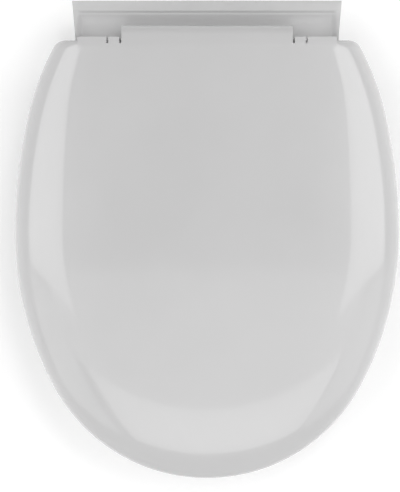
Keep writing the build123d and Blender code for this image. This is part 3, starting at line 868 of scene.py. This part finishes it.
for side in ("left", "right"):
    dressNode(side + "_hinge_pin", "bar", pinSteel, 0.3)
    dressNode(side + "_bar_pad", "bar", padSoft, 0.3)
    dressNode(side + "_fixing_bolt", "bar", fixingNylon, 0.4)
    dressNode(side + "_soft_washer", "bar", padSoft, 0.5)
    dressNode(side + "_hard_washer", "bar", fixingNylon, 0.4)
for corner in ("rear_left", "rear_right", "front_left", "front_right"):
    dressNode(corner + "_ring_buffer", "ring", bufferSoft, 0.6)
    dressNode(corner + "_lid_buffer", "lid", bufferSoft, 0.6)
print("small pieces dressed")


# stage, light and camera

stage = {"floor": -0.0615, "size": 6.0, "shade": (0.9, 0.9, 0.9), "roughness": 0.9,
         "specular": 0.1, "lift": 0.2, "near": 0.7, "far": 1.6}


def seenDirectly(nodes, links):
    # 1 where the camera, a reflection or a clear piece looks at the backdrop, else 0
    path = addNode(nodes, "ShaderNodeLightPath")
    first = addNode(nodes, "ShaderNodeMath", operation="MAXIMUM")
    both = addNode(nodes, "ShaderNodeMath", operation="MAXIMUM")
    links.new(path.outputs["Is Camera Ray"], first.inputs[0])
    links.new(path.outputs["Is Glossy Ray"], first.inputs[1])
    links.new(first.outputs[0], both.inputs[0])
    links.new(path.outputs["Is Transmission Ray"], both.inputs[1])
    return both.outputs[0]


def makeFloor():
    bm = bmesh.new()
    bmesh.ops.create_grid(bm, x_segments=2, y_segments=2, size=stage["size"] / 2)
    bmesh.ops.translate(bm, vec=(0, 0, stage["floor"]), verts=bm.verts)
    mesh = bpy.data.meshes.new("floor")
    bm.to_mesh(mesh)
    bm.free()
    floor = bpy.data.objects.new("floor", mesh)
    bpy.context.scene.collection.objects.link(floor)
    material, nodes, links = newFinish("paleFloor")
    shader = nodes["Principled BSDF"]
    shader.inputs["Base Color"].default_value = (*stage["shade"], 1)
    shader.inputs["Roughness"].default_value = stage["roughness"]
    shader.inputs["Specular IOR Level"].default_value = stage["specular"]
    # the floor is seen a little lighter than it is, and far off plain white, and keeps the shadow
    place = addNode(nodes, "ShaderNodeTexCoord")
    reach = addNode(nodes, "ShaderNodeVectorMath", operation="LENGTH")
    glow = addNode(nodes, "ShaderNodeMapRange")
    glow.inputs["From Min"].default_value = stage["near"]
    glow.inputs["From Max"].default_value = stage["far"]
    glow.inputs["To Min"].default_value = stage["lift"]
    seen = addNode(nodes, "ShaderNodeMath", operation="MULTIPLY")
    links.new(place.outputs["Object"], reach.inputs[0])
    links.new(reach.outputs["Value"], glow.inputs["Value"])
    links.new(glow.outputs["Result"], seen.inputs[0])
    links.new(seenDirectly(nodes, links), seen.inputs[1])
    links.new(seen.outputs[0], shader.inputs["Emission Strength"])
    shader.inputs["Emission Color"].default_value = (1, 1, 1, 1)
    # from below the floor is clear, so that the underside can be seen
    facing = addNode(nodes, "ShaderNodeNewGeometry")
    clear = addNode(nodes, "ShaderNodeBsdfTransparent")
    mix = addNode(nodes, "ShaderNodeMixShader")
    links.new(facing.outputs["Backfacing"], mix.inputs[0])
    links.new(shader.outputs[0], mix.inputs[1])
    links.new(clear.outputs[0], mix.inputs[2])
    links.new(mix.outputs[0], nodes["Material Output"].inputs["Surface"])
    mesh.materials.append(material)


makeFloor()


def areaLight(name, place, target, size, power):
    data = bpy.data.lights.new(name, "AREA")
    data.shape = "RECTANGLE"
    data.size, data.size_y = size
    data.energy = power
    lamp = bpy.data.objects.new(name, data)
    lamp.location = place
    lamp.rotation_euler = (Vector(target) - Vector(place)).to_track_quat("-Z", "Y").to_euler()
    bpy.context.scene.collection.objects.link(lamp)
    return lamp


middle = (0, -0.21, 0.03)
lights = {
    "leftPanel": {"place": (-1.02, 0.25, 2.03), "aim": (-1.02, 0.25, 0),
                  "size": (1.36, 1.28), "power": 10.7, "gloss": True},
    "rightPanel": {"place": (1.02, 0.25, 2.03), "aim": (1.02, 0.25, 0),
                   "size": (1.36, 1.28), "power": 11.8, "gloss": True},
    "leftSide": {"place": (-1.85, -0.3, 0.6), "aim": (0, -0.3, 0.6),
                 "size": (3.4, 1.2), "power": 35.9, "gloss": False},
    "rightSide": {"place": (1.85, -0.3, 0.6), "aim": (0, -0.3, 0.6),
                  "size": (3.4, 1.2), "power": 37.7, "gloss": False},
    "frontSide": {"place": (0, -2.2, 0.6), "aim": (0, 0, 0.6),
                  "size": (3.4, 1.2), "power": 13.8, "gloss": False},
    "frontFill": {"place": (0, -0.47, 2.03), "aim": (0, -0.47, 0),
                  "size": (1.6, 0.4), "power": 1.6, "gloss": True},
    "frontPanel": {"place": (0.1, -0.97, 2.03), "aim": (0.1, -0.97, 0),
                   "size": (1.2, 0.8), "power": 5.2, "gloss": True},
    "leftCorner": {"place": (-1.25, -0.95, 2.03), "aim": (-1.25, -0.95, 0),
                   "size": (1.2, 1.0), "power": 3.4, "gloss": True},
    "rightCorner": {"place": (1.35, -0.95, 2.03), "aim": (1.35, -0.95, 0),
                    "size": (1.2, 1.0), "power": 2.9, "gloss": True},
    "rearPanel": {"place": (0.3, 1.7, 1.7), "aim": (0, 0, 0.03),
                  "size": (1.8, 0.9), "power": 1.0, "gloss": False},
    "keyLight": {"place": (0.35, 0.5, 2.3), "aim": middle,
                 "size": (0.4, 0.4), "power": 5.0, "gloss": False},
}
# side, rear and key lamps only light the piece, and its gloss shows the white room there
for name, lamp in lights.items():
    panel = areaLight(name, lamp["place"], lamp["aim"], lamp["size"], lamp["power"])
    panel.visible_glossy = lamp["gloss"]

# a dim room for the light, seen plain white
room = 0.05
world = bpy.data.worlds.new("studio")
bpy.context.scene.world = world
world.use_nodes = True
worldNodes, worldLinks = world.node_tree.nodes, world.node_tree.links
fill = worldNodes["Background"]
fill.inputs["Color"].default_value = (1, 1, 1, 1)
white = addNode(worldNodes, "ShaderNodeMath", operation="MAXIMUM")
white.inputs[1].default_value = room
worldLinks.new(seenDirectly(worldNodes, worldLinks), white.inputs[0])
worldLinks.new(white.outputs[0], fill.inputs["Strength"])
print("stage and light ready")

camera = {"height": 1.6, "plane": 0.025, "x": -0.0065, "y": -0.2118, "tall": 0.460, "sensor": 36}
lens = bpy.data.cameras.new("photoCamera")
lens.sensor_fit = "VERTICAL"
lens.sensor_height = camera["sensor"]
lens.lens = camera["sensor"] * camera["height"] / camera["tall"]
eye = bpy.data.objects.new("photoCamera", lens)
eye.location = (camera["x"], camera["y"], camera["plane"] + camera["height"])
bpy.context.scene.collection.objects.link(eye)
bpy.context.scene.camera = eye
bpy.context.scene.view_settings.view_transform = "Standard"
